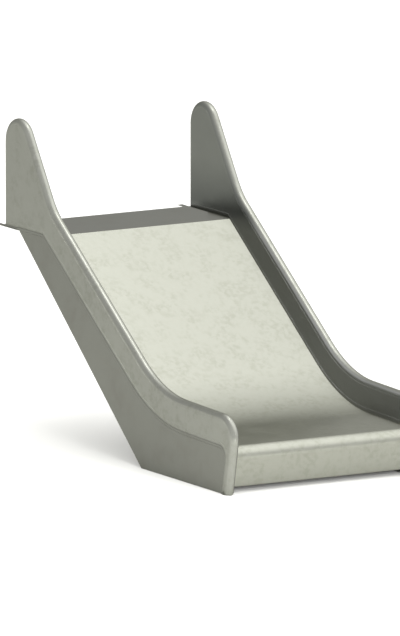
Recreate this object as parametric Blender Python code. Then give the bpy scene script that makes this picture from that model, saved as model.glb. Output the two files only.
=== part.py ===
# Wide embankment slide in folded and welded stainless steel sheet.
# The rider leaves towards -Y, +X is to the rider's left when looking back up the bed, and +Z is up.
# The origin lies on the ground, midway between the cheeks, under the anchor bar that ties the two feet.

from math import acos, atan2, cos, hypot, pi, radians, sin, tan

import bmesh
import bpy
from mathutils import Vector

# Overall sizes, in metres
CLEAR_WIDTH = 0.984
CHEEK_THICKNESS = 0.046
SHEET = 0.003
BAR = 0.004
GAP = 0.0003

# Side profile: distance behind the foot line and height above the ground
PLATFORM_HEIGHT = 0.982
CREST_BACK = 1.760
SLOPE_ANGLE = radians(34.85)
RUN_OUT_ANGLE = radians(1.5)
RUN_OUT_START = 0.060
RUN_OUT_HEIGHT = 0.2215
BED_CURVE = 0.900
ROLL_RADIUS = 0.050
LEG_LEAN = radians(11.0)
APRON_CLEARANCE = 0.031
APRON_RETURN = 0.030
APRON_FOLD = 0.005

# Cheeks
WALL_HEIGHT = 0.163
FIN_BACK = 2.133
FIN_TOP = 1.522
FIN_TIP = 0.122
FIN_FRONT_ANGLE = radians(56.0)
FIN_BLEND = 0.350
NOSE_RADIUS = 0.117
INNER_ROUND = 0.042
FOOT_FRONT = -0.015
FOOT_DEPTH = 0.067
RIM_DEPTH = 0.028
RIM_ROUND = 0.0225
RIM_STEPS = 5

# Entry plate and the fixing bars under its back corners
PLATE_BACK = 2.177
FIXING_WIDTH = 0.024
FIXING_FRONT = 2.016
FIXING_BACK = 2.257
FIXING_HOLE = 0.007
FIXING_HOLE_BACK = 0.040

# Skirts and their flanges
SKIRT_RECESS = 0.010
SKIRT_RISE = 0.0018
SKIRT_FOOT_BACK = 0.818
SKIRT_TOP_BACK = 2.012
FLANGE_WIDTH = 0.030
FLANGE_END = 0.020
BASE_WIDTH = 0.040
ANCHOR_HOLE = 0.007
ANCHOR_BACKS = (0.180, 0.680)

# Anchor bar and cross ribs
ANCHOR_BACK = 0.420
ANCHOR_BAR_DEPTH = 0.060
ANCHOR_BAR_THICKNESS = 0.006
RIB_DEPTH = 0.035
RIB_WIDTH = 0.050
SLOPE_RIBS = {"bed_rib_upper": 0.220, "bed_rib_middle": 0.540, "bed_rib_lower": 0.860}
PLATFORM_RIB_BACK = 1.850
RUN_OUT_RIB_BACK = 0.250

OUTER = CLEAR_WIDTH / 2 + CHEEK_THICKNESS
INNER = CLEAR_WIDTH / 2
SKIRT_OUTER = OUTER - SKIRT_RECESS
SKIRT_INNER = SKIRT_OUTER - SHEET
BED_HALF = SKIRT_INNER - GAP
BED_LEVEL = PLATFORM_HEIGHT - GAP
SIDES = {"left": -1, "right": 1}
ARC_STEP = radians(7.0)
ARC_SAG = 0.0002
CREASE = radians(32.0)
DRILL_FACETS = 16
DRILL_DEPTH = 0.050


def clear_scene():
    for obj in list(bpy.data.objects):
        bpy.data.objects.remove(obj, do_unlink=True)


def new_collection(name):
    collection = bpy.data.collections.new(name)
    bpy.context.scene.collection.children.link(collection)
    return collection


def steel(name, colour, roughness):
    material = bpy.data.materials.new(name)
    material.use_nodes = True
    shader = material.node_tree.nodes["Principled BSDF"]
    shader.inputs["Base Color"].default_value = (*colour, 1.0)
    shader.inputs["Metallic"].default_value = 1.0
    shader.inputs["Roughness"].default_value = roughness
    return material


def crossing(point_a, angle_a, point_b, angle_b):
    # Where two straight lines, each given by a point and a direction, meet
    run = cos(angle_a) * sin(angle_b) - sin(angle_a) * cos(angle_b)
    across = (point_b[0] - point_a[0]) * sin(angle_b) - (point_b[1] - point_a[1]) * cos(angle_b)
    reach = across / run
    return (point_a[0] + reach * cos(angle_a), point_a[1] + reach * sin(angle_a))


def arc(before, corner, after, radius):
    # Points of the round that replaces a corner
    into = atan2(corner[1] - before[1], corner[0] - before[0])
    out = atan2(after[1] - corner[1], after[0] - corner[0])
    turn = (out - into + pi) % (2 * pi) - pi
    cut = radius * tan(abs(turn) / 2)
    side = 1 if turn > 0 else -1
    start = (corner[0] - cut * cos(into), corner[1] - cut * sin(into))
    centre = (start[0] - side * radius * sin(into), start[1] + side * radius * cos(into))
    sag_step = 2 * acos(1 - min(ARC_SAG / radius, 1))
    steps = max(3, round(abs(turn) / min(ARC_STEP, sag_step)))
    points = []
    for step in range(steps + 1):
        angle = into - side * pi / 2 + turn * step / steps
        points.append((centre[0] + radius * cos(angle), centre[1] + radius * sin(angle)))
    return points


def rounded(corners, closed=True):
    # Corners are (back, height, radius); radius 0 keeps a corner sharp
    points = []
    count = len(corners)
    for index, (back, height, radius) in enumerate(corners):
        if radius == 0 or (not closed and index in (0, count - 1)):
            points.append((back, height))
        else:
            before = corners[index - 1]
            after = corners[(index + 1) % count]
            points.extend(arc(before, (back, height), after, radius))
    return points


def shifted(points, distance, closed=False):
    # The parallel path at a distance to the left of the way along it
    count = len(points)
    moved = []
    for index, (back, height) in enumerate(points):
        before = points[index - 1] if closed or index > 0 else None
        after = points[(index + 1) % count] if closed or index < count - 1 else None
        into = atan2(height - before[1], back - before[0]) if before else None
        out = atan2(after[1] - height, after[0] - back) if after else None
        into = out if into is None else into
        out = into if out is None else out
        turn = (out - into + pi) % (2 * pi) - pi
        middle = into + turn / 2 + pi / 2
        reach = distance / cos(turn / 2)
        moved.append((back + reach * cos(middle), height + reach * sin(middle)))
    return moved


def to_row(point):
    return (point[0] - ANCHOR_BACK, point[1])


def finish(obj, material, collection):
    obj.data.materials.append(material)
    for used in list(obj.users_collection):
        used.objects.unlink(obj)
    collection.objects.link(obj)
    return obj


def plate(name, loops, width, centre_x, material, collection):
    # A flat outline in the side plane, with any holes as further loops, and its width along X
    curve = bpy.data.curves.new(name, "CURVE")
    curve.dimensions = "2D"
    curve.fill_mode = "BOTH"
    curve.extrude = width / 2
    for loop in loops:
        spline = curve.splines.new("POLY")
        spline.points.add(len(loop) - 1)
        for point, place in zip(spline.points, loop):
            point.co = (*to_row(place), 0, 1)
        spline.use_cyclic_u = True
    obj = bpy.data.objects.new(name, curve)
    obj.rotation_euler = (pi / 2, 0, pi / 2)
    obj.location = (centre_x, 0, 0)
    return finish(obj, material, collection)


def box(name, size, centre, tilt, material, collection):
    bpy.ops.mesh.primitive_cube_add(size=1, location=centre, rotation=(tilt, 0, 0))
    obj = bpy.context.object
    obj.name = name
    obj.scale = size
    return finish(obj, material, collection)


def drill(obj, radius, places, cutters):
    # Upright round holes through a level bar, at (x, y) places
    for index, (x, y) in enumerate(places):
        place = (x, y, obj.location.z)
        bpy.ops.mesh.primitive_cylinder_add(
            vertices=DRILL_FACETS, radius=radius, depth=DRILL_DEPTH, location=place
        )
        cutter = bpy.context.object
        cutter.name = f"{obj.name}_drill_{index + 1}"
        cutter.hide_render = True
        cutter.display_type = "WIRE"
        for used in list(cutter.users_collection):
            used.objects.unlink(cutter)
        cutters.objects.link(cutter)
        hole = obj.modifiers.new("hole", "BOOLEAN")
        hole.operation = "DIFFERENCE"
        hole.solver = "EXACT"
        hole.object = cutter


# The line on which the cheeks stand, from the front roll back to the crest
run_out_point = (RUN_OUT_START, RUN_OUT_HEIGHT)
crest = (CREST_BACK, PLATFORM_HEIGHT)
bed_bend = crossing(run_out_point, RUN_OUT_ANGLE, crest, SLOPE_ANGLE)
bed_line = rounded([(*run_out_point, 0), (*bed_bend, BED_CURVE), (*crest, 0)], closed=False)


def bed_face(depth):
    # A face of the bed sheet, cut plumb at both ends so that the neighbours butt against it
    face = shifted(bed_line, -depth)
    face[0] = (run_out_point[0], run_out_point[1] - depth / cos(RUN_OUT_ANGLE))
    face[-1] = (crest[0], crest[1] - depth / cos(SLOPE_ANGLE))
    return face


def bed_outline():
    return bed_face(GAP) + bed_face(GAP + SHEET)[::-1]


def apron_outline():
    # One sheet: over the roll, down the leaning front, and back in a short return
    start = (RUN_OUT_START - GAP, RUN_OUT_HEIGHT - GAP)
    down = LEG_LEAN - pi / 2
    roll_turn = pi / 2 + LEG_LEAN + RUN_OUT_ANGLE
    reach = ROLL_RADIUS * tan(roll_turn / 2)
    roll_corner = (start[0] - reach * cos(RUN_OUT_ANGLE), start[1] - reach * sin(RUN_OUT_ANGLE))
    foot = crossing(roll_corner, down, (0, APRON_CLEARANCE), 0)
    back = (foot[0] + APRON_RETURN, foot[1])
    front = rounded(
        [(*start, 0), (*roll_corner, ROLL_RADIUS), (*foot, APRON_FOLD), (*back, 0)], closed=False
    )
    inside = shifted(front, SHEET)
    inside[0] = (start[0], start[1] - SHEET)
    return front + inside[::-1]


def lower_edge():
    # From the back of the foot, up the leg, round, along the run-out, up the slope to the crest
    up = pi / 2 + LEG_LEAN
    foot_back = (FOOT_FRONT + FOOT_DEPTH, 0)
    leg_corner = crossing(foot_back, up, run_out_point, RUN_OUT_ANGLE)
    corners = [(*foot_back, 0), (*leg_corner, INNER_ROUND), (*bed_bend, BED_CURVE), (*crest, 0)]
    return rounded(corners, closed=False)


def upper_edge():
    # From the back of the fin, over its tip, down the wall and round the nose to the foot
    up = pi / 2 + LEG_LEAN
    wall_crest = (crest[0] - WALL_HEIGHT * sin(SLOPE_ANGLE), crest[1] + WALL_HEIGHT * cos(SLOPE_ANGLE))
    wall_run_out = (run_out_point[0], run_out_point[1] + WALL_HEIGHT)
    wall_bend = crossing(wall_run_out, RUN_OUT_ANGLE, wall_crest, SLOPE_ANGLE)
    tip_centre = (FIN_BACK - FIN_TIP, FIN_TOP - FIN_TIP)
    fin_front = (
        tip_centre[0] - FIN_TIP * sin(FIN_FRONT_ANGLE),
        tip_centre[1] + FIN_TIP * cos(FIN_FRONT_ANGLE),
    )
    fin_corner = crossing(fin_front, FIN_FRONT_ANGLE, (FIN_BACK, 0), pi / 2)
    shoulder = crossing(fin_front, FIN_FRONT_ANGLE, wall_crest, SLOPE_ANGLE)
    nose = crossing((FOOT_FRONT, 0), up, wall_run_out, RUN_OUT_ANGLE)
    corners = [
        (FIN_BACK, PLATFORM_HEIGHT, 0),
        (*fin_corner, FIN_TIP),
        (*shoulder, FIN_BLEND),
        (*wall_bend, BED_CURVE - WALL_HEIGHT),
        (*nose, NOSE_RADIUS),
        (FOOT_FRONT, 0, 0),
    ]
    return rounded(corners, closed=False)


def run_edges(bm, path, x):
    # The edges of a mesh that follow an open path at one distance across
    places = [(x, *to_row(place)) for place in path]

    def station(vert):
        for index, place in enumerate(places):
            if (vert.co - Vector(place)).length < GAP / 3:
                return index
        return None

    found = []
    for edge in bm.edges:
        ends = [station(vert) for vert in edge.verts]
        if None not in ends and abs(ends[0] - ends[1]) == 1:
            found.append(edge)
    return found


def cheek_rim(name, side, outer, inner, material, collection):
    # A closed band with a half-round outer edge, left flat only where the foot meets the ground
    mesh = bpy.data.meshes.new(name)
    obj = bpy.data.objects.new(name, mesh)
    outside = side * OUTER
    inside = side * INNER
    bm = bmesh.new()
    loops = []
    for points in (outer, inner):
        verts = [bm.verts.new((inside, *to_row(place))) for place in points]
        loops.append([bm.edges.new((verts[i - 1], verts[i])) for i in range(len(verts))])
    ring = bmesh.ops.bridge_loops(bm, edges=loops[0] + loops[1])["faces"]
    lifted = bmesh.ops.extrude_face_region(bm, geom=ring)["geom"]
    moved = [item for item in lifted if isinstance(item, bmesh.types.BMVert)]
    bmesh.ops.translate(bm, verts=moved, vec=(outside - inside, 0, 0))
    bmesh.ops.recalc_face_normals(bm, faces=bm.faces)
    bmesh.ops.bevel(
        bm,
        geom=run_edges(bm, outer, inside) + run_edges(bm, outer, outside),
        offset=RIM_ROUND,
        segments=RIM_STEPS,
        profile=0.5,
        affect="EDGES",
        clamp_overlap=True,
    )
    bm.to_mesh(mesh)
    bm.free()
    mesh.shade_smooth()
    mesh.set_sharp_from_angle(angle=CREASE)
    return finish(obj, material, collection)


def skirt_outline():
    # The top edge reaches up beside the round of the rim, off its middle
    top = shifted(lower_edge(), SKIRT_RISE)
    level = PLATFORM_HEIGHT + SKIRT_RISE
    top[0] = (top[0][0], 0)
    top[-1] = (crest[0], level)
    return top + [(SKIRT_TOP_BACK, level), (SKIRT_FOOT_BACK, 0)]


def channel(base, angle):
    # A U channel with its open side against the sheet above: base is the middle of its top
    half = RIB_WIDTH / 2
    wall = half - SHEET
    floor = -RIB_DEPTH + SHEET
    section = [
        (-half, 0), (-half, -RIB_DEPTH), (half, -RIB_DEPTH), (half, 0),
        (wall, 0), (wall, floor), (-wall, floor), (-wall, 0),
    ]
    turned = []
    for along, up in section:
        back = base[0] + along * cos(angle) - up * sin(angle)
        turned.append((back, base[1] + along * sin(angle) + up * cos(angle)))
    return turned


def build():
    clear_scene()
    parts = new_collection("embankment_slide")
    cutters = new_collection("cutters")
    blasted = steel("blasted_steel", (0.57, 0.57, 0.51), 0.42)
    smooth = steel("smooth_steel", (0.42, 0.42, 0.39), 0.38)
    hidden = steel("mill_steel", (0.38, 0.38, 0.36), 0.5)

    plate("slide_bed", [bed_outline()], 2 * BED_HALF, 0, blasted, parts)
    plate("front_apron", [apron_outline()], CLEAR_WIDTH - 2 * GAP, 0, blasted, parts)
    plate_front = CREST_BACK + GAP
    box(
        "entry_plate",
        (2 * BED_HALF, PLATE_BACK - plate_front, SHEET),
        (0, (plate_front + PLATE_BACK) / 2 - ANCHOR_BACK, BED_LEVEL - SHEET / 2),
        0,
        smooth,
        parts,
    )

    contour = lower_edge() + upper_edge()
    rim_inside = shifted(contour, RIM_DEPTH, closed=True)
    sheet_edge = shifted(contour, RIM_DEPTH + GAP, closed=True)
    back_angle = atan2(PLATFORM_HEIGHT, SKIRT_TOP_BACK - SKIRT_FOOT_BACK)
    back_length = hypot(PLATFORM_HEIGHT, SKIRT_TOP_BACK - SKIRT_FOOT_BACK) - 2 * FLANGE_END
    back_middle = (
        (SKIRT_FOOT_BACK + SKIRT_TOP_BACK) / 2 - ANCHOR_BACK - SHEET / 2 * sin(back_angle),
        PLATFORM_HEIGHT / 2 + SHEET / 2 * cos(back_angle),
    )
    base_front = FOOT_FRONT + FOOT_DEPTH + FLANGE_END
    base_back = SKIRT_FOOT_BACK - GAP
    for word, side in SIDES.items():
        cheek_rim(f"{word}_cheek_rim", side, contour, rim_inside, blasted, parts)
        outer_x = side * (OUTER - SHEET / 2)
        inner_x = side * (INNER + SHEET / 2)
        plate(f"{word}_cheek_outer_sheet", [sheet_edge], SHEET, outer_x, blasted, parts)
        plate(f"{word}_cheek_inner_sheet", [sheet_edge], SHEET, inner_x, blasted, parts)
        skirt_x = side * (SKIRT_OUTER + SKIRT_INNER) / 2
        plate(f"{word}_skirt", [skirt_outline()], SHEET, skirt_x, smooth, parts)

        fixing_x = side * (OUTER + INNER) / 2
        fixing_length = FIXING_BACK - FIXING_FRONT
        fixing_y = (FIXING_BACK + FIXING_FRONT) / 2 - ANCHOR_BACK
        fixing = box(
            f"{word}_fixing_bar",
            (FIXING_WIDTH, fixing_length, BAR),
            (fixing_x, fixing_y, BED_LEVEL - SHEET - GAP - BAR / 2),
            0,
            smooth,
            parts,
        )
        hole_y = FIXING_BACK - FIXING_HOLE_BACK - ANCHOR_BACK
        drill(fixing, FIXING_HOLE, [(fixing_x, hole_y)], cutters)

        box(
            f"{word}_back_flange",
            (FLANGE_WIDTH, back_length, SHEET),
            (side * (SKIRT_INNER - GAP - FLANGE_WIDTH / 2), *back_middle),
            back_angle,
            smooth,
            parts,
        )
        base_x = side * (SKIRT_INNER - GAP - BASE_WIDTH / 2)
        base = box(
            f"{word}_base_flange",
            (BASE_WIDTH, base_back - base_front, BAR),
            (base_x, (base_front + base_back) / 2 - ANCHOR_BACK, BAR / 2),
            0,
            hidden,
            parts,
        )
        drill(base, ANCHOR_HOLE, [(base_x, back - ANCHOR_BACK) for back in ANCHOR_BACKS], cutters)

    bar_span = 2 * (SKIRT_INNER - 2 * GAP - BASE_WIDTH)
    box(
        "anchor_bar",
        (bar_span, ANCHOR_BAR_DEPTH, ANCHOR_BAR_THICKNESS),
        (0, 0, ANCHOR_BAR_THICKNESS / 2),
        0,
        hidden,
        parts,
    )

    rib_span = 2 * (SKIRT_INNER - GAP)
    under = SHEET + 2 * GAP
    for name, down in SLOPE_RIBS.items():
        base = (
            crest[0] - down * cos(SLOPE_ANGLE) + under * sin(SLOPE_ANGLE),
            crest[1] - down * sin(SLOPE_ANGLE) - under * cos(SLOPE_ANGLE),
        )
        plate(name, [channel(base, SLOPE_ANGLE)], rib_span, 0, hidden, parts)
    level = (PLATFORM_RIB_BACK, PLATFORM_HEIGHT - under)
    plate("platform_rib", [channel(level, 0)], rib_span, 0, hidden, parts)
    run_out_rise = (RUN_OUT_RIB_BACK - RUN_OUT_START) * tan(RUN_OUT_ANGLE)
    low = (RUN_OUT_RIB_BACK, RUN_OUT_HEIGHT + run_out_rise - under)
    plate("run_out_rib", [channel(low, RUN_OUT_ANGLE)], rib_span, 0, hidden, parts)


build()
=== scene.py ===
from math import cos, degrees, radians, sin, tan

import bmesh
import bpy
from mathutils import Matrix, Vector


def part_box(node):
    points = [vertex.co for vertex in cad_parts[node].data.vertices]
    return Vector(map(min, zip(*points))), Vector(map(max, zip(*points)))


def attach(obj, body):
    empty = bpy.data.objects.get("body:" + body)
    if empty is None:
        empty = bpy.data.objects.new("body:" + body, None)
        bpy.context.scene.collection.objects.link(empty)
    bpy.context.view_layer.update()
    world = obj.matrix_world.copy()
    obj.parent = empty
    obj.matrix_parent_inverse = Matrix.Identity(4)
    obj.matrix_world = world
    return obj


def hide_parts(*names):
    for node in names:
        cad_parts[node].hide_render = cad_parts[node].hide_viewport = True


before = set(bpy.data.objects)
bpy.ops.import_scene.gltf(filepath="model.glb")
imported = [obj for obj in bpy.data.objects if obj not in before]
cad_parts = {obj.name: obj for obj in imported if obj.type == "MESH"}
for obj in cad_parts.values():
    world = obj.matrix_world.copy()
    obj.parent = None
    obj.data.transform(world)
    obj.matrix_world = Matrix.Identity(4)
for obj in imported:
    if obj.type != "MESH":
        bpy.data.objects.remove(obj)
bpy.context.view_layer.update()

# Look of a wide embankment slide in bead-blasted stainless steel.
# Metres; the rider leaves towards -Y, the ground is z = 0.


# Colour, node and mesh helpers

smoothAngle = 32                 # degrees; flatter joins are shaded smooth
sheetCorner = 60                 # degrees; a turn sharper than this is a cut edge of a sheet
tiny = 0.00001                   # m; nearer than this is the same place


def hexColour(text):
    # sRGB hex to the linear colour that the shader wants
    channels = [int(text[i:i + 2], 16) / 255 for i in (1, 3, 5)]
    linear = [c / 12.92 if c <= 0.04045 else ((c + 0.055) / 1.055) ** 2.4 for c in channels]
    return (*linear, 1)


def addNode(tree, kind, settings={}, inputs={}):
    node = tree.nodes.new(kind)
    for key, value in settings.items():
        setattr(node, key, value)
    for key, value in inputs.items():
        if isinstance(value, bpy.types.NodeSocket):
            tree.links.new(value, node.inputs[key])
        else:
            node.inputs[key].default_value = value
    return node


def setStops(ramp, stops):
    while len(ramp.elements) < len(stops):
        ramp.elements.new(0.5)
    for element, (position, colour) in zip(ramp.elements, stops):
        element.position = position
        element.color = colour


def finishPiece(name, bm, material, nodes=(), mirrored=True):
    # Turns a bmesh into a shaded piece that rides on the slide and stands for its CAD nodes
    mesh = bpy.data.meshes.new(name)
    bmesh.ops.recalc_face_normals(bm, faces=bm.faces)
    bm.to_mesh(mesh)
    bm.free()
    mesh.shade_smooth()
    mesh.set_sharp_from_angle(angle=radians(smoothAngle))
    mesh.materials.append(material)
    piece = bpy.data.objects.new(name, mesh)
    bpy.context.scene.collection.objects.link(piece)
    weighted = piece.modifiers.new("flat faces stay flat", "WEIGHTED_NORMAL")
    weighted.keep_sharp = True
    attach(piece, "root")
    if nodes:
        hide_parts(*nodes)
    piece.visible_glossy = mirrored


def sharpEdges(bm, angle):
    return [e for e in bm.edges if len(e.link_faces) == 2 and e.calc_face_angle() > radians(angle)]


def softenEdges(bm, edges, width, segments=2):
    bmesh.ops.bevel(
        bm, geom=edges, offset=width, segments=segments, profile=0.5,
        affect="EDGES", clamp_overlap=True, material=-1,
    )


def stepTo(bm, vert, place):
    # The next point of an outline: the first is made, the others are extruded from the one before
    if vert is None:
        return bm.verts.new(place)
    new = bmesh.ops.extrude_vert_indiv(bm, verts=[vert])["verts"][0]
    new.co = place
    return new


def traceOutline(bm, corners, arcStep, closed=True):
    # Corners are (y, z, radius) in the side plane; each round is spun about its own centre
    count = len(corners)
    first = last = None
    for index, (y, z, radius) in enumerate(corners):
        here = Vector((0, y, z))
        if radius == 0:
            last = stepTo(bm, last, here)
        else:
            before = Vector((0, *corners[index - 1][:2]))
            after = Vector((0, *corners[(index + 1) % count][:2]))
            into = (here - before).normalized()
            out = (after - here).normalized()
            turn = into.angle(out)
            axis = into.cross(out).normalized()
            start = here - into * radius * tan(turn / 2)
            last = stepTo(bm, last, start)
            first = first or last
            spun = bmesh.ops.spin(
                bm, geom=[last], cent=start + axis.cross(into) * radius, axis=axis,
                angle=turn, steps=max(4, round(degrees(turn) / arcStep)),
            )
            last = [item for item in spun["geom_last"] if isinstance(item, bmesh.types.BMVert)][0]
        first = first or last
    if closed:
        bm.edges.new((last, first))
        return bmesh.ops.contextual_create(bm, geom=bm.edges[:])["faces"][0]


def spread(bm, lifted, fromX, toX):
    # Sets an outline at one X and its extruded copy at another
    moved = [item for item in lifted if isinstance(item, bmesh.types.BMVert)]
    bmesh.ops.translate(bm, verts=bm.verts[:], vec=(fromX, 0, 0))
    bmesh.ops.translate(bm, verts=moved, vec=(toX - fromX, 0, 0))
    bmesh.ops.recalc_face_normals(bm, faces=bm.faces)


def foldStrip(corners, arcStep, fromX, toX, thickness):
    # An open path carried across the slide, faced upwards and thickened downwards
    bm = bmesh.new()
    traceOutline(bm, corners, arcStep, closed=False)
    spread(bm, bmesh.ops.extrude_edge_only(bm, edges=bm.edges[:])["geom"], fromX, toX)
    if sum(face.normal.z for face in bm.faces) < 0:
        bmesh.ops.reverse_faces(bm, faces=bm.faces)
    bmesh.ops.solidify(bm, geom=bm.faces[:], thickness=thickness)
    return bm


def meet(pointA, angleA, pointB, angleB):
    # Where two lines of the side view cross, each a point and an angle in degrees
    a, b = radians(angleA), radians(angleB)
    gap = (pointB[0] - pointA[0]) * sin(b) - (pointB[1] - pointA[1]) * cos(b)
    reach = gap / (cos(a) * sin(b) - sin(a) * cos(b))
    return (pointA[0] + reach * cos(a), pointA[1] + reach * sin(a))


# Materials

blasted = {
    "steel": "#8e8f86",          # pale grey with a faint green-yellow cast
    "fleck": "#86877d",          # where the blast bit deeper
    "edge": "#bcbcb8",           # tint at a grazing look
    "cloudSize": 95,             # mm, broad clouds
    "fleckSize": 24,             # mm, the small soft flecks
    "grainSize": 4,              # mm; bead marks are under 0.3 mm and are drawn coarser to show at all
    "roughness": (0.30, 0.36),
    "grainHeight": 0.00003,
}
wallSheet = {
    **blasted,
    "steel": "#8a8b84",
    "fleck": "#82837b",
    "innerPaintedShade": (                 # painted shade on the inner faces, by height in m: darkest just above the platform
        (0.30, "#a3a4a2"),
        (0.52, "#949593"),
        (0.95, "#878885"),
        (1.03, "#595b58"),
        (1.25, "#6e706b"),
    ),
    "innerPaintedShadeHeight": 1.5,
    "innerPaintedShadeEdge": (0.4924, 0.506),  # m from the middle, where it starts to fade and where it is gone
}
plainSheet = {
    "steel": "#767771",
    "fleck": "#72726c",
    "edge": "#c4c4c0",
    "cloudSize": 260,
    "fleckSize": 90,
    "grainSize": 5,
    "roughness": (0.28, 0.32),
    "grainHeight": 0.00001,
}
millBar = {
    "steel": "#85857e",
    "fleck": "#74736c",
    "edge": "#a8a8a4",
    "cloudSize": 120,
    "fleckSize": 18,
    "grainSize": 2,
    "roughness": (0.42, 0.55),
    "grainHeight": 0.00005,
}


def steelFinish(name, look):
    # Clouds and flecks mix two tones of steel. A Mix node's colours are its inputs 6 and 7, and its output 2
    material = bpy.data.materials.new(name)
    material.use_nodes = True
    tree = material.node_tree
    shader = tree.nodes["Principled BSDF"]
    shader.inputs["Metallic"].default_value = 1.0
    shader.inputs["Specular Tint"].default_value = hexColour(look["edge"])
    place = addNode(tree, "ShaderNodeTexCoord").outputs["Object"]
    cloud = addNode(tree, "ShaderNodeTexNoise", {}, {
        "Vector": place, "Scale": 1000 / look["cloudSize"], "Detail": 3, "Roughness": 0.5,
    })
    fleck = addNode(tree, "ShaderNodeTexNoise", {}, {
        "Vector": place, "Scale": 1000 / look["fleckSize"], "Detail": 2, "Roughness": 0.6, "Distortion": 0.25,
    })
    grain = addNode(tree, "ShaderNodeTexNoise", {}, {
        "Vector": place, "Scale": 1000 / look["grainSize"], "Detail": 1,
    })
    fleckMask = addNode(tree, "ShaderNodeMapRange", {"interpolation_type": "SMOOTHSTEP"}, {
        "Value": fleck.outputs["Fac"], "From Min": 0.36, "From Max": 0.70,
    })
    cloudMask = addNode(tree, "ShaderNodeMapRange", {"interpolation_type": "SMOOTHSTEP"}, {
        "Value": cloud.outputs["Fac"], "From Min": 0.35, "From Max": 0.65, "To Min": 0.15, "To Max": 1.0,
    })
    mask = addNode(tree, "ShaderNodeMath", {"operation": "MULTIPLY"}, {
        0: fleckMask.outputs["Result"], 1: cloudMask.outputs["Result"],
    })
    colour = addNode(tree, "ShaderNodeMix", {"data_type": "RGBA"}, {
        "Factor": mask.outputs[0], 6: hexColour(look["steel"]), 7: hexColour(look["fleck"]),
    })
    paint = colour.outputs[2]
    # Painted shade on the cheeks' inner faces: a colour by height, faded out towards the outer faces
    if "innerPaintedShade" in look:
        split = addNode(tree, "ShaderNodeSeparateXYZ", {}, {0: place})
        height = addNode(tree, "ShaderNodeMath", {"operation": "DIVIDE"}, {
            0: split.outputs["Z"], 1: look["innerPaintedShadeHeight"],
        })
        inner = addNode(tree, "ShaderNodeValToRGB", {}, {"Fac": height.outputs[0]})
        shades = [(z / look["innerPaintedShadeHeight"], hexColour(shade)) for z, shade in look["innerPaintedShade"]]
        setStops(inner.color_ramp, shades)
        across = addNode(tree, "ShaderNodeMath", {"operation": "ABSOLUTE"}, {0: split.outputs["X"]})
        start, end = look["innerPaintedShadeEdge"]
        outward = addNode(tree, "ShaderNodeMapRange", {"interpolation_type": "SMOOTHSTEP"}, {
            "Value": across.outputs[0], "From Min": start, "From Max": end,
        })
        paint = addNode(tree, "ShaderNodeMix", {"data_type": "RGBA"}, {
            "Factor": outward.outputs["Result"], 6: inner.outputs["Color"], 7: paint,
        }).outputs[2]
    low, high = look["roughness"]
    rough = addNode(tree, "ShaderNodeMapRange", {}, {
        "Value": cloud.outputs["Fac"], "From Min": 0.3, "From Max": 0.7, "To Min": low, "To Max": high,
    })
    bump = addNode(tree, "ShaderNodeBump", {}, {
        "Height": grain.outputs["Fac"], "Distance": look["grainHeight"], "Strength": 1.0,
    })
    tree.links.new(paint, shader.inputs["Base Color"])
    tree.links.new(rough.outputs["Result"], shader.inputs["Roughness"])
    tree.links.new(bump.outputs["Normal"], shader.inputs["Normal"])
    return material


# Bead-blasted stainless: a soft bright sheet with cloudy flecks, no direction in it
blastedSteel = steelFinish("bead_blasted_stainless", blasted)
# The same steel a shade darker on the cheeks, with painted shade on their inner faces, set by height
wallSteel = steelFinish("bead_blasted_stainless_walls", wallSheet)
# Cold-rolled stainless as it comes, an even satin a little darker than the blasted sheet
rolledSteel = steelFinish("cold_rolled_stainless", plainSheet)
# Hot-rolled and pickled bar and channel on the underside, duller and more uneven
pickledSteel = steelFinish("pickled_mill_stainless", millBar)
print("materials ready")


# Side view, shared by the bed, the apron and the cheeks. Y runs from the exit to the entry

side = {
    "footLine": -0.42,           # Y of the vertical line that the apron's lean starts from
    "runOutStart": 0.060,        # back from the foot line, as are the other reaches
    "runOutHeight": 0.2215,
    "runOutAngle": 1.5,
    "crestBack": 1.760,
    "platformHeight": 0.982,
    "slopeAngle": 34.85,
    "bedCurve": 0.900,
    "lean": 11.0,
    "sheet": 0.003,
    "seam": 0.0003,              # what neighbours keep between them
}
runOutPoint = (side["footLine"] + side["runOutStart"], side["runOutHeight"])
crestPoint = (side["footLine"] + side["crestBack"], side["platformHeight"])
bendPoint = meet(runOutPoint, side["runOutAngle"], crestPoint, side["slopeAngle"])
innerFace = 0.492                # X of each cheek's inner face
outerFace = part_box("right_cheek_rim")[1].x
print("side view set out")


# Bed: one sheet from the crest, through the curve, to the roll

bed = {"halfWidth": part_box("slide_bed")[1].x, "edgeRound": 0.0006, "arcStep": 1.0}


def alongRunOut(distance, lift):
    # A point on or off the run-out's line, from its front end
    a = radians(side["runOutAngle"])
    y = runOutPoint[0] + distance * cos(a) - lift * sin(a)
    return (y, runOutPoint[1] + distance * sin(a) + lift * cos(a))


def offCrest(lift):
    # A point off the crest, square to the slope
    a = radians(side["slopeAngle"])
    return (crestPoint[0] - lift * sin(a), crestPoint[1] + lift * cos(a))


def bedCorners():
    # The bed's line, a seam lower than the cheeks' line and parallel to it
    drop = side["seam"]
    front = alongRunOut(0, -drop)
    bend = meet(front, side["runOutAngle"], offCrest(-drop), side["slopeAngle"])
    crest = (crestPoint[0], crestPoint[1] - drop / cos(radians(side["slopeAngle"])))
    return [(*front, 0), (*bend, side["bedCurve"] + drop), (*crest, 0)]


def makeSheet(name, corners, look, node):
    # A folded sheet over the whole width of the bed
    bm = foldStrip(corners, look["arcStep"], -look["halfWidth"], look["halfWidth"], side["sheet"])
    softenEdges(bm, sharpEdges(bm, sheetCorner), look["edgeRound"])
    finishPiece(name, bm, blastedSteel, [node])


makeSheet("bed_sheet", bedCorners(), bed, "slide_bed")
print("bed done")


# Apron: the roll at the front, the leaning face and its short return

apron = {
    "halfWidth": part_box("front_apron")[1].x,
    "roll": 0.050,               # radius of the rolled front edge
    "fold": 0.005,
    "clearance": 0.031,          # above the ground
    "turnIn": 0.030,             # depth of the bottom return
    "edgeRound": 0.0006,
    "arcStep": 3.0,
}


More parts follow.
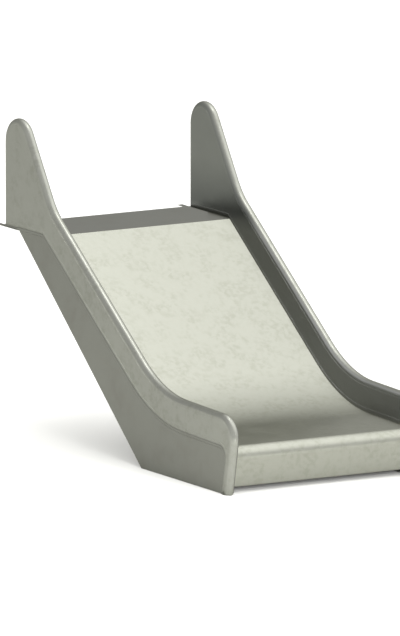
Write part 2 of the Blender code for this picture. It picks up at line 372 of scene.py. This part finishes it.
def apronCorners():
    start = alongRunOut(-side["seam"], -side["seam"])
    turn = radians(90 + side["lean"] + side["runOutAngle"])
    reach = apron["roll"] * tan(turn / 2)
    a = radians(side["runOutAngle"])
    rollCorner = (start[0] - reach * cos(a), start[1] - reach * sin(a))
    foot = meet(rollCorner, side["lean"] - 90, (0, apron["clearance"]), 0)
    return [
        (*start, 0),
        (*rollCorner, apron["roll"]),
        (*foot, apron["fold"]),
        (foot[0] + apron["turnIn"], foot[1], 0),
    ]


makeSheet("apron_sheet", apronCorners(), apron, "front_apron")
print("apron done")


# Cheeks: a half-round rim with a face sheet let in on each side

cheek = {
    "wall": 0.163,
    "finBack": 2.133,
    "finTop": 1.5218,            # just under the solid's, whose round has fewer faces
    "finTip": 0.122,
    "finAngle": 56.0,
    "finBlend": 0.350,
    "nose": 0.1174,
    "innerRound": 0.042,
    "footFront": -0.015,
    "footDepth": 0.067,
    "rimDepth": 0.028,
    "rimRound": 0.0228,          # just under half the wall's thickness
    "rimSegments": 10,
    "seamRound": 0.0005,
    "seamStart": 0.002,          # height above the ground where the softened seam begins
    "arcStep": 2.5,
}


def cheekCorners():
    # From the back of the foot, under the bed's line, up the fin's back, and down over the nose
    line = side["footLine"]
    up = 90 + side["lean"]
    footBack = (line + cheek["footFront"] + cheek["footDepth"], 0)
    footFront = (line + cheek["footFront"], 0)
    legCorner = meet(footBack, up, runOutPoint, side["runOutAngle"])
    wallCrest = offCrest(cheek["wall"])
    wallFront = (runOutPoint[0], runOutPoint[1] + cheek["wall"])
    wallBend = meet(wallFront, side["runOutAngle"], wallCrest, side["slopeAngle"])
    f = radians(cheek["finAngle"])
    tip = (line + cheek["finBack"] - cheek["finTip"], cheek["finTop"] - cheek["finTip"])
    finFront = (tip[0] - cheek["finTip"] * sin(f), tip[1] + cheek["finTip"] * cos(f))
    finCorner = meet(finFront, cheek["finAngle"], (line + cheek["finBack"], 0), 90)
    shoulder = meet(finFront, cheek["finAngle"], wallCrest, side["slopeAngle"])
    nose = meet(footFront, up, wallFront, side["runOutAngle"])
    return [
        (*footBack, 0),
        (*legCorner, cheek["innerRound"]),
        (*bendPoint, side["bedCurve"]),
        (*crestPoint, 0),
        (line + cheek["finBack"], side["platformHeight"], 0),
        (*finCorner, cheek["finTip"]),
        (*shoulder, cheek["finBlend"]),
        (*wallBend, side["bedCurve"] - cheek["wall"]),
        (*nose, cheek["nose"]),
        (*footFront, 0),
    ]


def traceCheek(bm, inset):
    # The outline and an inset of it; gives the outline's places and the band between the two
    face = traceOutline(bm, cheekCorners(), cheek["arcStep"])
    places = [v.co.copy() for v in face.verts]
    band = bmesh.ops.inset_region(
        bm, faces=[face], thickness=inset, use_even_offset=True, use_boundary=True,
    )["faces"]
    return places, band


def widenWall(bm, sign, near, far):
    # Gives a flat outline its thickness, between two distances from the middle
    fromX, toX = sorted((sign * near, sign * far))
    spread(bm, bmesh.ops.extrude_face_region(bm, geom=bm.faces[:])["geom"], fromX, toX)


def runsAcross(edge):
    return abs(edge.verts[0].co.x - edge.verts[1].co.x) > tiny


def makeRim(word, sign):
    bm = bmesh.new()
    places, band = traceCheek(bm, cheek["rimDepth"])
    bmesh.ops.delete(bm, geom=[f for f in bm.faces if f not in band], context="FACES_ONLY")
    widenWall(bm, sign, innerFace, outerFace)

    def onOutline(vert):
        return any((vert.co.yz - place.yz).length < tiny for place in places)

    outerVerts = {v for v in bm.verts if onOutline(v)}
    around = [
        e for e in sharpEdges(bm, sheetCorner)
        if not runsAcross(e) and all(v in outerVerts for v in e.verts)
    ]
    rounded = [e for e in around if any(v.co.z >= tiny for v in e.verts)]     # the foot's end stays flat
    softenEdges(bm, rounded, cheek["rimRound"], cheek["rimSegments"])
    seam = [
        e for e in sharpEdges(bm, 80)
        if not runsAcross(e) and all(v.co.z >= cheek["seamStart"] for v in e.verts)
    ]
    softenEdges(bm, seam, cheek["seamRound"])
    finishPiece(f"{word}_cheek_edge", bm, wallSteel, [f"{word}_cheek_rim"], mirrored=False)


def makeCheekFace(word, sign, where):
    bm = bmesh.new()
    band = traceCheek(bm, cheek["rimDepth"] + side["seam"])[1]
    bmesh.ops.delete(bm, geom=band, context="FACES")
    near = innerFace if where == "inner" else outerFace - side["sheet"]
    widenWall(bm, sign, near, near + side["sheet"])
    softenEdges(bm, [e for e in sharpEdges(bm, sheetCorner) if not runsAcross(e)], cheek["seamRound"])
    node = f"{word}_cheek_{where}_sheet"
    finishPiece(f"{word}_cheek_{where}_face", bm, wallSteel, [node], mirrored=False)


# Weld that fills the gap between each cheek's round and the skirt, nearly flush with the cheek

weld = {
    "rise": 0.0140,              # how far above the cheek's lower outline it starts
    "depth": 0.0160,             # down from there
    "tuck": 0.0005,              # how far it sits in the skirt
    "outer": 0.5365,             # X of its face
    "start": 0.002,              # height of its foot
    "end": 1.592,                # Y of its back end
    "edgeRound": 0.0035,
    "edgeSegments": 3,
    "arcStep": 3.0,
}


def weldCorners():
    # The cheek's lower outline moved up into the cheek: leg, run-out, slope, then level to the end
    lift = weld["rise"]
    footY = side["footLine"] + cheek["footFront"] + cheek["footDepth"] - lift / cos(radians(side["lean"]))
    foot = (footY, weld["start"])
    front = alongRunOut(0, lift)
    level = (weld["end"], crestPoint[1] + lift)
    legCorner = meet(foot, 90 + side["lean"], front, side["runOutAngle"])
    bend = meet(front, side["runOutAngle"], offCrest(lift), side["slopeAngle"])
    crest = meet(offCrest(lift), side["slopeAngle"], level, 0)
    return [
        (*foot, 0),
        (*legCorner, cheek["innerRound"] + lift),
        (*bend, side["bedCurve"] - lift),
        (*crest, 0),
        (*level, 0),
    ]


def makeSkirtWeld(word, sign):
    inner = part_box("right_skirt")[1].x - weld["tuck"]
    bm = foldStrip(weldCorners(), weld["arcStep"], sign * inner, sign * weld["outer"], weld["depth"])
    softenEdges(bm, sharpEdges(bm, sheetCorner), weld["edgeRound"], weld["edgeSegments"])
    finishPiece(f"{word}_skirt_weld", bm, rolledSteel)


sides = {"left": -1, "right": 1}
for word, sign in sides.items():
    makeSkirtWeld(word, sign)
    makeRim(word, sign)
    makeCheekFace(word, sign, "outer")
    makeCheekFace(word, sign, "inner")
print("cheeks done")


# Flat sheets, bars and flanges: the CAD shape with its cut edges softened

flats = {
    "entry_plate": (rolledSteel, "smooth_steel", 0.0005),
    "anchor_bar": (pickledSteel, "mill_steel", 0.0008),
}
for word in sides:
    flats[f"{word}_skirt"] = (rolledSteel, "smooth_steel", 0.0005)
    flats[f"{word}_fixing_bar"] = (rolledSteel, "smooth_steel", 0.0007)
    flats[f"{word}_back_flange"] = (rolledSteel, "smooth_steel", 0.0005)
    flats[f"{word}_base_flange"] = (pickledSteel, "mill_steel", 0.0008)


def softenedCopy(node, material, width):
    bm = bmesh.new()
    bm.from_mesh(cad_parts[node].data)
    bmesh.ops.remove_doubles(bm, verts=bm.verts, dist=tiny)
    bmesh.ops.dissolve_limit(bm, angle_limit=radians(1), verts=bm.verts, edges=bm.edges)
    softenEdges(bm, sharpEdges(bm, 45), width)
    finishPiece(f"{node}_steel", bm, material, [node])


for node, (material, slot, width) in flats.items():
    softenedCopy(node, material, width)
print("flats done")


# Ribs under the sheets: the CAD channels with their cut edges softened

ribRound = 0.0006
for node in ("bed_rib_upper", "bed_rib_middle", "bed_rib_lower", "platform_rib", "run_out_rib"):
    softenedCopy(node, pickledSteel, ribRound)
print("ribs done")


# Studio: a pale floor, a sky that brightens upwards to the right, a softbox overhead and lights for the floor

studio = {
    "floor": "#c8c8c5",
    "floorSize": 60,
    "floorDrop": 0.001,
    "floorRoughness": 0.9,
    "sky": ((0.0, 1.20), (0.30, 1.13), (0.44, 1.13), (0.56, 1.26), (0.75, 2.05), (0.91, 2.62), (1.0, 2.76)),
    "bright": (0.55, 0.0, 0.835),      # the sky's stops run up to this direction, high on the right
    "front": (0.0, -0.25, 0.0),        # and its front half is brighter than its back
}


def makeFloor():
    bm = bmesh.new()
    bmesh.ops.create_grid(bm, x_segments=1, y_segments=1, size=studio["floorSize"] / 2)
    bmesh.ops.translate(bm, verts=bm.verts, vec=(0, 0, -studio["floorDrop"]))
    mesh = bpy.data.meshes.new("studio_floor")
    bm.to_mesh(mesh)
    bm.free()
    floor = bpy.data.objects.new("studio_floor", mesh)
    bpy.context.scene.collection.objects.link(floor)
    material = bpy.data.materials.new("studio_paper")
    material.use_nodes = True
    shader = material.node_tree.nodes["Principled BSDF"]
    shader.inputs["Base Color"].default_value = hexColour(studio["floor"])
    shader.inputs["Roughness"].default_value = studio["floorRoughness"]
    mesh.materials.append(material)


def makeSky():
    world = bpy.data.worlds.new("studio_sky")
    world.use_nodes = True
    tree = world.node_tree
    place = addNode(tree, "ShaderNodeTexCoord").outputs["Generated"]
    bright = addNode(tree, "ShaderNodeVectorMath", {"operation": "DOT_PRODUCT"}, {
        0: place, 1: studio["bright"],
    })
    ramp = addNode(tree, "ShaderNodeValToRGB", {}, {"Fac": bright.outputs["Value"]})
    setStops(ramp.color_ramp, [(position, (glow, glow, glow, 1)) for position, glow in studio["sky"]])
    front = addNode(tree, "ShaderNodeVectorMath", {"operation": "DOT_PRODUCT"}, {
        0: place, 1: studio["front"],
    })
    strength = addNode(tree, "ShaderNodeMath", {"operation": "ADD"}, {0: front.outputs["Value"], 1: 1.0})
    background = tree.nodes["Background"]
    tree.links.new(ramp.outputs["Color"], background.inputs["Color"])
    tree.links.new(strength.outputs[0], background.inputs["Strength"])
    bpy.context.scene.world = world


# Only the softbox shows in the steel; the two fills and the wash light the floor
lamps = {
    "overhead_softbox": {
        "place": (1.5, 1.15, 8.5), "aim": (0, 0.75, 0.6), "size": 2.2, "power": 66, "shines": True,
    },
    "front_floor_fill": {
        "place": (-0.6, -5.0, 1.1), "aim": (0, -0.6, 0), "size": 2.2, "power": 620, "shines": False,
    },
    "side_floor_fill": {
        "place": (-4.0, -0.6, 2.6), "aim": (-1.2, 0.4, 0), "size": 2.5, "power": 110, "shines": False,
    },
}
wash = {"strength": 1.45, "spread": 120}


def addSoftbox(name, look):
    light = bpy.data.lights.new(name, "AREA")
    light.size = look["size"]
    light.energy = look["power"]
    lamp = bpy.data.objects.new(name, light)
    bpy.context.scene.collection.objects.link(lamp)
    lamp.location = look["place"]
    lamp.rotation_euler = (Vector(look["aim"]) - Vector(look["place"])).to_track_quat("-Z", "Y").to_euler()
    lamp.visible_glossy = look["shines"]


def addWash():
    # An even light on the floor from all over the ceiling
    light = bpy.data.lights.new("ceiling_wash", "SUN")
    light.energy = wash["strength"]
    light.angle = radians(wash["spread"])
    lamp = bpy.data.objects.new("ceiling_wash", light)
    bpy.context.scene.collection.objects.link(lamp)
    lamp.visible_glossy = False


makeFloor()
makeSky()
for name, look in lamps.items():
    addSoftbox(name, look)
addWash()
print("studio done")


# Camera: a very long lens, as the picture has hardly any perspective

view = {
    "azimuth": -30.0,
    "elevation": 10.0,
    "distance": 88.0,
    "aim": (-0.0008, 0.7504, 0.6285),
    "longSide": 3.055,           # m that the picture's long side spans at the aim
    "sensor": 36,
    "clip": (1, 400),
}


def makeCamera():
    data = bpy.data.cameras.new("camera")
    data.sensor_width = view["sensor"]
    data.lens = data.sensor_width * view["distance"] / view["longSide"]
    data.clip_start, data.clip_end = view["clip"]
    camera = bpy.data.objects.new("camera", data)
    bpy.context.scene.collection.objects.link(camera)
    a, e = radians(view["azimuth"]), radians(view["elevation"])
    back = Vector((sin(a) * cos(e), -cos(a) * cos(e), sin(e)))
    camera.location = Vector(view["aim"]) + back * view["distance"]
    camera.rotation_euler = (-back).to_track_quat("-Z", "Y").to_euler()
    bpy.context.scene.camera = camera


makeCamera()
bpy.context.scene.view_settings.view_transform = "Standard"
print("camera done")
